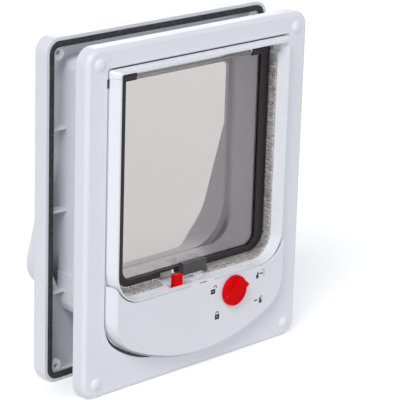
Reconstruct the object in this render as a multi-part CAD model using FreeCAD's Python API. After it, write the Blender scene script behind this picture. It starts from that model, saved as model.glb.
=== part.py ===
import FreeCAD, Part
import math
import os

# Four-way locking cat flap with a self-lining tunnel. Millimetres, +X right seen
# from indoors, +Y out through the door, +Z up, standing on both frames.

V = FreeCAD.Vector

# Reach in front of and behind the indoor face; the row is centred on their sum
FRONT_REACH = 13.8
BACK_REACH = 75.8
SHIFT_Y = (FRONT_REACH - BACK_REACH) / 2

# Frames
FRAME_W = 198.0
FRAME_H = 236.0
HALF_W = FRAME_W / 2
FAR = FRAME_W + FRAME_H
FRAME_R = 10.5
FACE_T = 2.5
WALL = 2.2
EDGE_R = 3.2
SKIRT_IN = 11.0
OUT_FACE = 52.9
SKIRT_OUT = 39.3
FOAM_T = 2.2
FOAM_PROUD = 0.4
FOAM_W = 4.5
LEDGE_T = 2.0
SCREW_SIDE = 10.7
SCREW_INSET = 10.5
SCREW_X = HALF_W - SCREW_SIDE
SCREW_Z = (SCREW_INSET, FRAME_H - SCREW_INSET)
SCREW_HOLE_R = 2.3
PILOT_R = 1.6
CAP_R = 4.6
CAP_RISE = 1.8
CAP_SOCKET_R = 4.05
RIB_T = 1.6
RIB_PITCH = 56.0
RIB_Z = (FRAME_H / 2 - RIB_PITCH, FRAME_H / 2, FRAME_H / 2 + RIB_PITCH)

# Opening in the indoor frame and the parts that fill it
BAND_SIDE = 17.5
BAND_TOP = 14.2
OPEN_X = HALF_W - BAND_SIDE
OPEN_TOP = FRAME_H - BAND_TOP
OPEN_R = 127.0
OPEN_CORNER = 22.0
OPEN_BOTTOM = 11.2
RING_GAP = 1.0
RING_LEAN = 3.8
RING_BASE_X = OPEN_X - RING_GAP
RING_CREST_X = RING_BASE_X - RING_LEAN
RING_FRONT = -6.2
RING_BACK = 2.6
RING_HEAD_GAP = 0.8
COVER_STRIP = 5.3
RING_TOP = OPEN_TOP - RING_HEAD_GAP
SPLIT_Z = RING_TOP - COVER_STRIP
SEAM = 0.2

# Cat passage
RING_DEPTH = 8.5
PASS_X = RING_BASE_X - RING_DEPTH
PASS_FLOOR = 65.0
PASS_TOP = SPLIT_Z + SEAM / 2
PASS_R = 17.0
TUBE_SIDE = 4.2
TUBE_ROOF = 1.8
TUBE_X = PASS_X + TUBE_SIDE
TUBE_TOP = PASS_TOP + TUBE_ROOF
SEAT_BACK = 13.0
TUBE_WALL = 2.0
BOX_BOTTOM = 46.8
BOX_BACK = 26.0
BOX_WALL = 1.8
LINER_IN = 6.0
LINER_OUT = 12.0
LINER_GAP = 0.3
TUBE_END = OUT_FACE - FACE_T - LINER_IN - LINER_GAP
FLOOR_UNDER = 62.8
DECK_UNDER = 61.2

# Control cover and the tray behind it
COVER_Z = 62.5
COVER_FRONT = -7.5
COVER_T = 2.0
COVER_LEAN = 3.6
COVER_GAP = 0.9
COVER_BASE_X = OPEN_X - COVER_GAP
COVER_X = COVER_BASE_X - COVER_LEAN
COVER_BOTTOM = 14.7
COVER_R = 137.3
COVER_CORNER = 24.0
SADDLE_R = 25.5
HORN_Z = 76.4
TRAY_X = COVER_BASE_X - 2.6
TRAY_T = 1.6
TRAY_BACK = 11.0
FLANGE_Y = (2.7, 4.9)
FLANGE_LAP = 4.0
FLANGE_X = OPEN_X + FLANGE_LAP
FLANGE_TOP = OPEN_TOP + 3.4
BOSS_R = 6.2

# Flap
AXIS_Y = 8.0
AXIS_Z = SPLIT_Z - 3.1
PIN_R = 1.5
PIN_CLEAR = 0.05
PIN_END = TUBE_X - 0.6
SLOT_FRONT = -1.2
RIM_GAP = 2.9
RIM_W = 7.8
RIM_X = PASS_X - RIM_GAP
RIM_IN = RIM_X - RIM_W
RIM_BOTTOM = 69.5
RIM_INNER_BOTTOM = 74.0
RIM_Y = (6.0, 10.8)
RIM_R = 14.0
PANE_Y = (7.2, 9.6)
PANE_X = RIM_X - 2.1
PANE_BOTTOM = 72.6
LUG_W = 16.6
LUG_X = RIM_X - LUG_W
LUG_R = 2.8
NOTCH_X = (-27.5, -10.7)
NOTCH_TOP = 72.4
TAB_X = 10.7
TAB_FRONT = 1.2
TAB_Z = (68.0, 76.2)

SILL_MAGNET = (-8.0, 8.0, 4.0, 9.0, 61.5, 64.0)

# Knob, pinion and lock slide
KNOB_X = 28.6
KNOB_Z = 51.2
KNOB_R = 10.8
KNOB_BACK = -7.7
KNOB_FRONT = -10.6
KNOB_REST = 48.0
GRIP_TIP = 9.2
GRIP_TAIL = 9.3
GRIP_HALF = 4.3
SHAFT_R = 2.0
PITCH_R = 2.6
TEETH = 10
PRESSURE = math.radians(30.0)
ADDENDUM = 0.5
DEDENDUM = 0.62
BACKLASH = 0.16
BAR_Y = (3.4, 6.0)
BAR_TOP = 60.9
DECK_Z = 59.2
TOOTH_X = (-22.4, -15.2)
TOOTH_Y = (-3.0, 0.7)
TOOTH_TOP = 71.8
BACK_TOOTH_X = (-19.0, -11.7)
BACK_TOOTH_Y = (11.7, 15.0)
TRAVEL_LEFT = 4.2
TRAVEL_RIGHT = 8.3
SLOT_CLEAR = 0.5

# Electric catch
COIL_X = 1.0
COIL_Y = 0.7
COIL_Z = (40.4, 52.4)
PLUNGER_R = 2.25
CATCH_LIFT = 4.2

# Cells: left end, right end, centre height
CELL_R = 7.1
CELL_Y = 2.0
CELL_L = 50.3
CELL_ENDS = (6.8 - TRAY_X, 19.7 - TRAY_X, -5.2)
CELL_Z = (51.6, 37.2, 31.8)
CELLS = [(x, x + CELL_L, z) for x, z in zip(CELL_ENDS, CELL_Z)]

# Circuit board and sensor coil in the box under the passage
BOARD_X = (14.2 - TUBE_X, 24.0)
BOARD_Y = (11.8, 23.4)
BOARD_Z = 50.6
BOARD_T = 1.6
SENSOR_X = (34.0, TUBE_X - 6.2)
SENSOR_Y = 18.0
SENSOR_Z = 56.0
SENSOR_R = 2.6
WINDING_R = 4.4

# Outdoor sleeve, opening and sill
SLEEVE_GAP = 0.6
SLEEVE_ROOF_GAP = 0.4
SLEEVE_T = 1.8
SLEEVE_IN = TUBE_X + SLEEVE_GAP
SLEEVE_X = SLEEVE_IN + SLEEVE_T
SLEEVE_IN_Z = (BOX_BOTTOM - SLEEVE_GAP, TUBE_TOP + SLEEVE_ROOF_GAP)
SLEEVE_Z = (SLEEVE_IN_Z[0] - SLEEVE_T, SLEEVE_IN_Z[1] + SLEEVE_T)
SLEEVE_R = 8.0
SLEEVE_FRONT = 19.6
EXIT_X = PASS_X + 1.5
EXIT_TOP = OPEN_TOP - 27.3
EXIT_SILL = 62.5
EXIT_FALL = math.radians(16.2)
EXIT_R = 30.0
NOSE_X = HALF_W - 11.5
NOSE_WALL = 2.2
NOSE_BOTTOM = 46.1
NOSE_CORNER = 36.0
NOSE_TIP_Z = 64.5
NOSE_TIP_R = 20.0
NOSE_LIP_R = 7.0
NOSE_LEAN = math.radians(15.6)
NOSE_FALL = math.radians(27.0)


def box(x0, x1, y0, y1, z0, z1):
    return Part.makeBox(x1 - x0, y1 - y0, z1 - z0, V(x0, y0, z0))


def rod(axis, a, b, r, lo, hi):
    """Cylinder along X, Y or Z from lo to hi; a and b are the other two."""
    start = {"x": V(lo, a, b), "y": V(a, lo, b), "z": V(a, b, lo)}[axis]
    way = {"x": V(1, 0, 0), "y": V(0, 1, 0), "z": V(0, 0, 1)}[axis]
    return Part.makeCylinder(r, hi - lo, start, way)


def fuse(shapes):
    whole = shapes[0]
    for other in shapes[1:]:
        whole = whole.fuse(other)
    return whole.removeSplitter()


def cut(shape, tools):
    for tool in tools:
        shape = shape.cut(tool)
    return shape


def arc(cx, cz, r, a0, a1, y):
    """Arc in the plane Y = y, angles in degrees from +X toward +Z."""
    pts = []
    for k in range(3):
        a = math.radians(a0 + (a1 - a0) * k / 2)
        pts.append(V(cx + r * math.cos(a), y, cz + r * math.sin(a)))
    return Part.Arc(pts[0], pts[1], pts[2]).toShape()


def line(x0, z0, x1, z1, y):
    return Part.makeLine(V(x0, y, z0), V(x1, y, z1))


def outline(x, z0, z1, rt, rb, y=0.0):
    """Rectangle with rounded corners in the plane Y = y, as a wire."""
    edges = [line(-x + rb, z0, x - rb, z0, y), arc(x - rb, z0 + rb, rb, -90, 0, y)]
    edges += [line(x, z0 + rb, x, z1 - rt, y), arc(x - rt, z1 - rt, rt, 0, 90, y)]
    edges += [line(x - rt, z1, -x + rt, z1, y), arc(-x + rt, z1 - rt, rt, 90, 180, y)]
    edges += [line(-x, z1 - rt, -x, z0 + rb, y), arc(-x + rb, z0 + rb, rb, 180, 270, y)]
    return Part.Wire(edges)


def bowl(side, top, rt, corner, radius, bottom, y=0.0):
    """Upright outline with a shallow curved bottom, as a wire in the plane Y = y."""
    slope = math.degrees(math.asin((side - corner) / (radius - corner)))
    mid_z = bottom + radius
    cx = side - corner
    cz = mid_z - (radius - corner) * math.cos(math.radians(slope))
    edges = [arc(0, mid_z, radius, -90 - slope, -90 + slope, y)]
    edges += [arc(cx, cz, corner, -90 + slope, 0, y), line(side, cz, side, top - rt, y)]
    edges += [arc(side - rt, top - rt, rt, 0, 90, y), line(side - rt, top, -side + rt, top, y)]
    edges += [arc(-side + rt, top - rt, rt, 90, 180, y), line(-side, top - rt, -side, cz, y)]
    edges += [arc(-cx, cz, corner, 180, 270 - slope, y)]
    return Part.Wire(edges)


def prism(wire, y0, y1):
    """Solid between y0 and y1 from a wire drawn at Y = 0."""
    solid = Part.Face(wire).extrude(V(0, y1 - y0, 0))
    solid.translate(V(0, y0, 0))
    return solid


def loft(first, second):
    return Part.makeLoft([first, second], True, True)


def plate(points, axis, lo, hi):
    """Solid from a polygon. axis x: points are (y, z); axis y: points are (x, z)."""
    if axis == "x":
        corners = [V(lo, a, b) for a, b in points]
        way = V(hi - lo, 0, 0)
    else:
        corners = [V(a, lo, b) for a, b in points]
        way = V(0, hi - lo, 0)
    return Part.Face(Part.makePolygon(corners + corners[:1])).extrude(way)


def round_front(shape, y, r, x_min):
    """Round the outer edges that lie in the plane Y = y."""
    edges = []
    for e in shape.Edges:
        b = e.BoundBox
        flat = abs(b.YMin - y) < 1e-6 and abs(b.YMax - y) < 1e-6
        outer = max(abs(b.XMin), abs(b.XMax)) > x_min
        if flat and outer:
            edges.append(e)
    return shape.makeFillet(r, edges)


def screw_places():
    return [(x, z) for x in (-SCREW_X, SCREW_X) for z in SCREW_Z]


def saddle(x, z, r):
    """Prism wire above the control cover: a broad U."""
    return outline(x, z, FRAME_H + 10, 1.0, r)


# Indoor frame
def indoor_frame():
    outer = round_front(prism(outline(HALF_W, 0, FRAME_H, FRAME_R, FRAME_R), 0, SKIRT_IN), 0, EDGE_R, 10)
    inner_r = FRAME_R - WALL
    hollow = prism(outline(HALF_W - WALL, WALL, FRAME_H - WALL, inner_r, inner_r), FACE_T, SKIRT_IN)
    frame = outer.cut(hollow)
    ribs = []
    for side in (-1, 1):
        x0, x1 = sorted((side * (FLANGE_X + 0.9), side * (HALF_W - 1.5)))
        for z in RIB_Z:
            ribs.append(box(x0, x1, FACE_T, 8.0, z - RIB_T / 2, z + RIB_T / 2))
    for side in (-1, 1):
        x0, x1 = sorted((side * (FLANGE_X - 1.2), side * (FLANGE_X + 2.5)))
        for z in RIB_Z[1:]:
            ribs.append(box(x0, x1, FLANGE_Y[1] + 0.1, FLANGE_Y[1] + 1.8, z - 5, z + 5))
    for x in (-44.0, 0.0, 44.0):
        ribs.append(box(x - RIB_T / 2, x + RIB_T / 2, FACE_T, 8.0, FLANGE_TOP + 1, FRAME_H - 1.5))
    for x, z in screw_places():
        ribs.append(rod("y", x, z, BOSS_R, FACE_T, SKIRT_IN))
    frame = fuse([frame] + ribs)
    mouth = bowl(OPEN_X, OPEN_TOP, 2.0, OPEN_CORNER, OPEN_R, OPEN_BOTTOM)
    bevel = loft(bowl(OPEN_X + 0.8, OPEN_TOP + 0.8, 2.8, OPEN_CORNER + 0.8, OPEN_R + 0.8, OPEN_BOTTOM - 0.8, -0.1),
                 bowl(OPEN_X - 0.1, OPEN_TOP - 0.1, 1.9, OPEN_CORNER - 0.1, OPEN_R - 0.1, OPEN_BOTTOM + 0.1, 0.8))
    frame = frame.cut(prism(mouth, -1, FACE_T + 0.1)).cut(bevel)
    tools = []
    for x, z in screw_places():
        tools.append(rod("y", x, z, CAP_SOCKET_R, -1, 4.6))
        tools.append(rod("y", x, z, SCREW_HOLE_R, 4, SKIRT_IN + 1))
    for side in (-1, 1):
        x0, x1 = sorted((side * (OPEN_X - 0.5), side * (OPEN_X + 1.3)))
        tools.append(box(x0, x1, -1, FACE_T + 1, AXIS_Z - 3.2, AXIS_Z + 3.0))
    return cut(frame, tools)


# Screw caps: a low dome on a cross-shaped stem that grips the socket
def screw_caps():
    ball_r = (CAP_R ** 2 + CAP_RISE ** 2) / (2 * CAP_RISE)
    half = CAP_SOCKET_R - 0.2
    caps = []
    for x, z in screw_places():
        ball = Part.makeSphere(ball_r, V(x, ball_r - CAP_RISE, z))
        dome = ball.common(rod("y", x, z, CAP_R + 1, -CAP_RISE - 1, 0))
        across = box(x - half, x + half, -0.2, 3.0, z - 0.7, z + 0.7)
        upright = box(x - 0.7, x + 0.7, -0.2, 3.0, z - half, z + half)
        caps.append(fuse([dome, across, upright]))
    return caps


# Ring round the flap: full height, shared by the housing and the hinge cover
def ring():
    outer = loft(outline(RING_BASE_X, COVER_Z + 0.4, RING_TOP, 1.6, SADDLE_R - 0.4, 0),
                 outline(RING_CREST_X, COVER_Z + 0.4, RING_TOP - 1.2, 2.6, SADDLE_R - 4.2, RING_FRONT))
    base = prism(outline(RING_BASE_X, COVER_Z + 0.4, RING_TOP, 1.6, SADDLE_R - 0.4), 0, RING_BACK)
    inner = loft(outline(PASS_X, PASS_FLOOR, PASS_TOP + 1.2, 1.5, PASS_R, 0.5),
                 outline(RING_CREST_X - 1.3, COVER_Z + 1.2, PASS_TOP + 2.6, 1.5, PASS_R + 3.4, RING_FRONT))
    through = prism(outline(PASS_X, PASS_FLOOR, PASS_TOP + 1.2, 1.5, PASS_R), 0.5, RING_BACK + 1)
    return fuse([outer, base]).cut(inner).cut(through)


def hinge_slots():
    """Blind slots in both side walls: in from the top, then back to the hinge axis."""
    shapes = []
    half = PIN_R + PIN_CLEAR
    for side in (-1, 1):
        x0, x1 = sorted((side * (PASS_X - 1), side * (TUBE_X - 0.4)))
        shapes.append(box(x0, x1, SLOT_FRONT, AXIS_Y, AXIS_Z - half, AXIS_Z + half))
        shapes.append(rod("x", AXIS_Y, AXIS_Z, half, x0, x1))
        shapes.append(box(x0, x1, SLOT_FRONT, SLOT_FRONT + 2 * half + 0.2, AXIS_Z, SPLIT_Z + 1))
    return shapes


# Tunnel housing: ring, passage, mechanism box and battery tray in one moulding
def tunnel_housing():
    split = SPLIT_Z - SEAM / 2
    front = ring().common(box(-FAR, FAR, -20, RING_BACK + 0.1, 0, split))
    tube = prism(outline(TUBE_X, BOX_BOTTOM, TUBE_TOP, 5.6, 5.6), 0.5, TUBE_END)
    tube = tube.cut(box(-FAR, FAR, 0, 2.8, split, FAR))
    tube = tube.cut(box(-FAR, FAR, 0, TRAY_BACK - TRAY_T, 0, DECK_UNDER))
    tube = tube.cut(box(-FAR, FAR, BOX_BACK, FAR, 0, FLOOR_UNDER))
    flange = bowl(FLANGE_X, FLANGE_TOP, 4, OPEN_CORNER + 4, OPEN_R + 4, OPEN_BOTTOM - 4)
    flange = prism(flange, FLANGE_Y[0], FLANGE_Y[1])
    flange = cut(flange, [rod("y", x, z, BOSS_R + 0.8, 0, 10) for x, z in screw_places()])
    t = TRAY_T
    tray_out = bowl(TRAY_X, COVER_Z + 3, 1, COVER_CORNER + 1, COVER_R + 1, COVER_BOTTOM - 1)
    tray_in = bowl(TRAY_X - t, COVER_Z + 3, 1, COVER_CORNER + 1 - t, COVER_R + 1 - t, COVER_BOTTOM - 1 + t)
    flange = flange.cut(prism(tray_in, 0, 20)).cut(box(-PASS_X, PASS_X, 0, 20, 60, PASS_TOP))
    tray = prism(tray_out, FLANGE_Y[0], TRAY_BACK).cut(prism(tray_in, 0, TRAY_BACK - t))
    tray = tray.common(box(-FAR, FAR, 0, 20, 0, FLOOR_UNDER))
    deck = prism(outline(70, DECK_UNDER, 100, 1, 20), RING_FRONT + 0.9, TRAY_BACK)
    deck = deck.common(box(-FAR, FAR, -20, 20, 0, COVER_Z + 0.6))
    body = fuse([front, tube, flange, tray, deck])
    seat = prism(outline(PASS_X, PASS_FLOOR, PASS_TOP, 3.0, PASS_R), 0.5, SEAT_BACK + 1)
    bore = outline(TUBE_X - TUBE_WALL, PASS_FLOOR, PASS_TOP, 3.8, PASS_R + 2)
    chest = box(-TUBE_X + BOX_WALL, TUBE_X - BOX_WALL, TRAY_BACK, BOX_BACK - BOX_WALL,
                BOX_BOTTOM + BOX_WALL, FLOOR_UNDER)
    body = body.cut(seat).cut(prism(bore, SEAT_BACK, TUBE_END + 1)).cut(chest)
    return cut(fuse([body] + housing_ribs()), housing_cuts())


def housing_ribs():
    """Shaft bearing, cell cradles, coil shelf and the shelves under the electronics."""
    back = TRAY_BACK - 1.0
    ribs = [rod("y", KNOB_X, KNOB_Z, 5.0, BAR_Y[1] + 0.9, back)]
    for x in (CELLS[1][0] + 6.3, CELLS[1][0] + 28.3):
        ribs.append(box(x - 0.7, x + 0.7, 6.6, back, 22.8, CELLS[1][2] - CELL_R - 0.2))
    for x in (CELLS[2][0] + 13.2, CELLS[2][0] + 41.2):
        ribs.append(box(x - 0.7, x + 0.7, 6.6, back, 18.0, CELLS[2][2] - CELL_R - 0.2))
    ribs.append(box(COIL_X - 5, COIL_X + 7, COIL_Y + 6.0, back, COIL_Z[0] - 1.0, COIL_Z[0] + 0.2))
    for x in (BOARD_X[0] + 6.0, -20.0, BOARD_X[1] - 6.0):
        ribs.append(box(x - 0.7, x + 0.7, TRAY_BACK, BOX_BACK - 1, BOX_BOTTOM + 1, BOARD_Z - 0.05))
    for x in (SENSOR_X[0] + 3.5, SENSOR_X[1] - 3.5):
        ribs.append(box(x - 0.7, x + 0.7, TRAY_BACK, BOX_BACK - 1, BOX_BOTTOM + 1, SENSOR_Z - SENSOR_R - 0.05))
    return ribs


def housing_cuts():
    """Slots for the lock and the catch, the magnet seat, shaft bore and hinge slots."""
    c = SLOT_CLEAR
    tools = []
    left, right = TOOTH_X[0] - TRAVEL_LEFT - c, TOOTH_X[1] + TRAVEL_RIGHT + c
    tools.append(box(left, right, TOOTH_Y[0] - c, TOOTH_Y[1] + c, 60, 70))
    tools.append(box(COIL_X - 2.9 - c, COIL_X + 2.9 + c, TOOTH_Y[0] - c, TOOTH_Y[1] + c, 60, 70))
    left, right = BACK_TOOTH_X[0] - TRAVEL_LEFT - c, BACK_TOOTH_X[1] + TRAVEL_RIGHT + c
    tools.append(box(left, right, BACK_TOOTH_Y[0] - c, BACK_TOOTH_Y[1] + c, 60, 70))
    tools.append(box(left, right, TRAY_BACK - 2, BACK_TOOTH_Y[1] + c, DECK_Z - 0.4, FLOOR_UNDER))
    tools.append(box(9.2 - TUBE_X, 15.2 - TUBE_X, TRAY_BACK - 2, TRAY_BACK + 1, 50, 55))
    m = SILL_MAGNET
    tools.append(box(m[0] - 0.1, m[1] + 0.1, m[2] - 0.1, m[3] + 0.1, 61.0, m[5]))
    tools.append(rod("y", KNOB_X, KNOB_Z, SHAFT_R + 0.06, 6.5, TRAY_BACK - 1.2))
    return tools + hinge_slots()


# Hinge cover: the strip over the flap, with legs that keep the hinge pins in
def hinge_cover():
    above = box(-FAR, FAR, -20, RING_BACK + 0.1, SPLIT_Z + SEAM / 2, FAR)
    strip = ring().common(above)
    legs = []
    for side in (-1, 1):
        x0, x1 = sorted((side * (PASS_X + 0.3), side * PIN_END))
        back = AXIS_Y - PIN_R - 0.25
        legs.append(box(x0, x1, SLOT_FRONT + 0.2, back, AXIS_Z - PIN_R + 0.15, AXIS_Z + PIN_R - 0.2))
        legs.append(box(x0, x1, SLOT_FRONT + 0.2, SLOT_FRONT + 2 * PIN_R, AXIS_Z, SPLIT_Z + 1.8))
    return fuse([strip] + legs)


# Control cover: D-shaped, lifts off the battery tray
def control_cover():
    saddle_cut = prism(saddle(RING_BASE_X + 0.2, COVER_Z, SADDLE_R), -30, 30)
    base = bowl(COVER_BASE_X, 100, 1, COVER_CORNER + 2.4, COVER_R, COVER_BOTTOM, 0)
    face = bowl(COVER_X, 100, 1, COVER_CORNER, COVER_R, COVER_BOTTOM, COVER_FRONT)
    skirt = prism(bowl(COVER_BASE_X, 100, 1, COVER_CORNER + 2.4, COVER_R, COVER_BOTTOM), 0, RING_BACK - 0.2)
    solid = fuse([loft(base, face), skirt])
    t = COVER_T
    in_base = bowl(COVER_BASE_X - t, 100, 1, COVER_CORNER + 2.4 - t, COVER_R - t, COVER_BOTTOM + t, 0)
    in_face = bowl(COVER_X - t + 0.9, 100, 1, COVER_CORNER - t + 0.9, COVER_R - t, COVER_BOTTOM + t, COVER_FRONT + t)
    in_skirt = prism(bowl(COVER_BASE_X - t, 100, 1, COVER_CORNER + 2.4 - t, COVER_R - t, COVER_BOTTOM + t), 0, 20)
    cover = solid.cut(loft(in_base, in_face)).cut(in_skirt)
    cover = cover.cut(saddle_cut).cut(box(-FAR, FAR, -20, 20, HORN_Z, FAR))
    tongue = box(-10.8, 10.8, COVER_FRONT, COVER_FRONT + 1.1, COVER_Z - 2, COVER_Z + 2.7)
    hook = box(-9.0, 9.0, COVER_FRONT + 1.0, COVER_FRONT + 3.2, COVER_Z - 3.0, DECK_UNDER - 0.4)
    cover = fuse([cover, tongue, hook])
    tools = [rod("y", KNOB_X, KNOB_Z, 4.3, -20, 0)]
    tools.append(box(-3.3, 3.3, COVER_FRONT - 1, COVER_FRONT + 0.5, COVER_Z + 0.5, COVER_Z + 1.2))
    return cut(cover, tools)


# Flap
def hinge_line(lo, hi, r):
    return rod("x", AXIS_Y, AXIS_Z, r, lo, hi)


def flap_notch():
    return box(NOTCH_X[0], NOTCH_X[1], 0, 20, 60, NOTCH_TOP)


def flap_pane():
    sheet = prism(outline(PANE_X, PANE_BOTTOM, AXIS_Z, 1.0, RIM_R - 2), PANE_Y[0], PANE_Y[1])
    roll = hinge_line(-LUG_X + 0.2, LUG_X - 0.2, LUG_R - 0.5)
    pane = fuse([sheet, roll])
    for side in (-1, 1):
        x0, x1 = sorted((side * LUG_X, side * HALF_W))
        pane = pane.cut(box(x0, x1, 0, 20, AXIS_Z - 3, AXIS_Z + 5))
        x0, x1 = sorted((side * (LUG_X - 0.2), side * HALF_W))
        pane = pane.cut(box(x0, x1, 0, 20, AXIS_Z - 2.9, AXIS_Z + 5))
    return pane


def flap_rim():
    outer = prism(outline(RIM_X, RIM_BOTTOM, AXIS_Z, 1.0, RIM_R), RIM_Y[0], RIM_Y[1])
    inner = prism(outline(RIM_IN, RIM_INNER_BOTTOM, AXIS_Z + 40, 1.0, RIM_R - 6), 0, 20)
    bar = outer.cut(inner)
    parts = [bar]
    for side in (-1, 1):
        x0, x1 = sorted((side * LUG_X, side * RIM_X))
        parts.append(hinge_line(x0, x1, LUG_R))
        parts.append(box(x0, x1, AXIS_Y - LUG_R + 0.4, AXIS_Y + LUG_R - 0.2, AXIS_Z - 3.0, AXIS_Z))
    rim = fuse(parts)
    tools = [flap_notch(), flap_pane()]
    for side in (-1, 1):
        x0, x1 = sorted((side * (LUG_X + 4), side * HALF_W))
        tools.append(hinge_line(x0, x1, PIN_R))
    return cut(rim, tools)


def hinge_pins():
    pins = []
    for side in (-1, 1):
        x0, x1 = sorted((side * (LUG_X + 4), side * PIN_END))
        pins.append(hinge_line(x0, x1, PIN_R))
    return pins


def magnet_holder():
    block = box(-TAB_X, TAB_X, TAB_FRONT, RIM_Y[0], TAB_Z[0], TAB_Z[1])
    toe = box(-TAB_X, TAB_X, RIM_Y[0], RIM_Y[1], TAB_Z[0], RIM_BOTTOM)
    return fuse([block, toe]).cut(flap_magnet())


def flap_magnet():
    return box(-8, 8, 2.8, RIM_Y[0], 69.8, 74.8)


def sill_magnet():
    return box(*SILL_MAGNET)


# Brush pile round the passage, left and right runs
def brush_seal():
    outer = prism(outline(PASS_X, PASS_FLOOR, FRAME_H, 1, PASS_R), 0.8, 8.4)
    inner = prism(outline(RIM_X + 0.4, RIM_BOTTOM - 0.4, FRAME_H, 1, RIM_R + 0.4), 0, 20)
    pile = outer.cut(inner).cut(box(-FAR, FAR, -5, 20, AXIS_Z - 4.6, FAR))
    left = pile.common(box(-FAR, NOTCH_X[0] - 1.5, -5, 20, 0, FAR))
    right = pile.common(box(TAB_X + 2.7, FAR, -5, 20, 0, FAR))
    return [left, right]


# Lock
def lock_knob():
    disc = rod("y", 0, 0, KNOB_R, KNOB_FRONT, KNOB_BACK)
    disc = disc.makeChamfer(0.8, [e for e in disc.Edges if abs(e.BoundBox.YMax - KNOB_FRONT) < 1e-6])
    hub = rod("y", 0, 0, 4.1, KNOB_BACK, -2.6)
    foot = [(-GRIP_TAIL, 5.2, -10.2), (GRIP_TIP + 0.6, GRIP_HALF + 0.4, -10.2)]
    crest = [(-GRIP_TAIL, 4.7, KNOB_FRONT - 0.15), (GRIP_TIP, GRIP_HALF, -FRONT_REACH)]
    grip = loft(grip_outline(foot), grip_outline(crest))
    knob = fuse([disc, hub, grip]).cut(rod("y", 0, 0, SHAFT_R, -6.4, 0))
    knob.rotate(V(0, 0, 0), V(0, 1, 0), -KNOB_REST)
    knob.translate(V(KNOB_X, 0, KNOB_Z))
    return knob


def grip_outline(ends):
    """Four-sided wire from (along, half width, Y) at the tail and at the tip."""
    (x0, w0, y0), (x1, w1, y1) = ends
    corners = [V(x0, y0, -w0), V(x1, y1, -w1), V(x1, y1, w1), V(x0, y0, w0)]
    return Part.makePolygon(corners + corners[:1])


def involute(base_r, r):
    """Angle gained along an involute from its base circle to radius r."""
    if r <= base_r:
        return 0.0
    t = math.sqrt((r / base_r) ** 2 - 1)
    return t - math.atan(t)


def pinion():
    base_r = PITCH_R * math.cos(PRESSURE)
    tip_r = PITCH_R + ADDENDUM - 0.05
    root_r = PITCH_R - DEDENDUM
    pitch = 2 * math.pi / TEETH
    half = pitch / 4 - BACKLASH / 4 / PITCH_R
    radii = [root_r, base_r, (base_r + PITCH_R) / 2, PITCH_R, (PITCH_R + tip_r) / 2, tip_r]
    gain = involute(base_r, PITCH_R)
    points = []
    for k in range(TEETH):
        mid = math.pi / 2 - k * pitch
        for r in radii:
            a = mid + half + gain - involute(base_r, r)
            points.append((KNOB_X + r * math.cos(a), KNOB_Z + r * math.sin(a)))
        for r in reversed(radii):
            a = mid - half - gain + involute(base_r, r)
            points.append((KNOB_X + r * math.cos(a), KNOB_Z + r * math.sin(a)))
    gear = plate(points, "y", BAR_Y[0] - 0.2, BAR_Y[1] + 0.2)
    front = rod("y", KNOB_X, KNOB_Z, SHAFT_R, -6.4, BAR_Y[0])
    back = rod("y", KNOB_X, KNOB_Z, SHAFT_R, BAR_Y[1], TRAY_BACK - 1.8)
    return fuse([gear, front, back])


def rack_teeth(x0, x1):
    """Trapezoid teeth under the bar; a gap lies over the knob's axis at rest."""
    pitch = 2 * math.pi * PITCH_R / TEETH
    line_z = KNOB_Z + PITCH_R
    top = line_z + DEDENDUM
    tip = line_z - ADDENDUM + 0.05
    lean = math.tan(PRESSURE)
    half = pitch / 4 - BACKLASH / 4
    teeth = []
    for k in range(-20, 21):
        x = KNOB_X + (k + 0.5) * pitch
        if x0 + half < x < x1 - half:
            wide = half + (top - line_z) * lean
            thin = half - (line_z - tip) * lean
            points = [(x - wide, top + 0.2), (x - wide, top), (x - thin, tip), (x + thin, tip), (x + wide, top), (x + wide, top + 0.2)]
            teeth.append(plate(points, "y", BAR_Y[0], BAR_Y[1]))
    return teeth


def lock_slide():
    rack_top = KNOB_Z + PITCH_R + DEDENDUM
    bar = box(-13.4, 40.0, BAR_Y[0], BAR_Y[1], rack_top + 1.0, BAR_TOP)
    rack = box(16.0, 40.0, BAR_Y[0], BAR_Y[1], rack_top, BAR_TOP)
    deck = box(-36.5, -11.2, TOOTH_Y[0] - 0.2, BAR_Y[1], DECK_Z, BAR_TOP)
    stub = box(TOOTH_X[0] + 1.2, TOOTH_X[1] - 1.2, TOOTH_Y[0] + 0.8, TOOTH_Y[1] - 0.8, DECK_Z, 66.0)
    arm = box(BACK_TOOTH_X[0], BACK_TOOTH_X[1], BAR_Y[0], BACK_TOOTH_Y[1], DECK_Z, BAR_TOP)
    stop = box(BACK_TOOTH_X[0], BACK_TOOTH_X[1], BACK_TOOTH_Y[0], BACK_TOOTH_Y[1], DECK_Z, TOOTH_TOP)
    return fuse([bar, rack, deck, stub, arm, stop] + rack_teeth(16.0, 40.0))


def latch_tooth():
    low = 62.0
    body = box(TOOTH_X[0], TOOTH_X[1], TOOTH_Y[0], TOOTH_Y[1], low, TOOTH_TOP)
    edges = [e for e in body.Edges if e.BoundBox.ZMin > TOOTH_TOP - 0.01]
    body = body.makeFillet(0.6, edges)
    return body.cut(box(TOOTH_X[0] + 1.2, TOOTH_X[1] - 1.2, TOOTH_Y[0] + 0.8, TOOTH_Y[1] - 0.8, low - 1, 66.0))


# Electric catch
def coil_rod(r, z0, z1):
    return rod("z", COIL_X, COIL_Y, r, z0, z1)


def coil_bobbin():
    z0, z1 = COIL_Z
    bobbin = fuse([coil_rod(5.9, z0, z0 + 1), coil_rod(5.9, z1 - 1, z1), coil_rod(3.1, z0, z1)])
    return bobbin.cut(coil_rod(PLUNGER_R + 0.1, z0 - 1, z1 + 1))


def coil_winding():
    z0, z1 = COIL_Z
    return coil_rod(5.5, z0 + 1, z1 - 1).cut(coil_rod(3.1, z0, z1))


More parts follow.
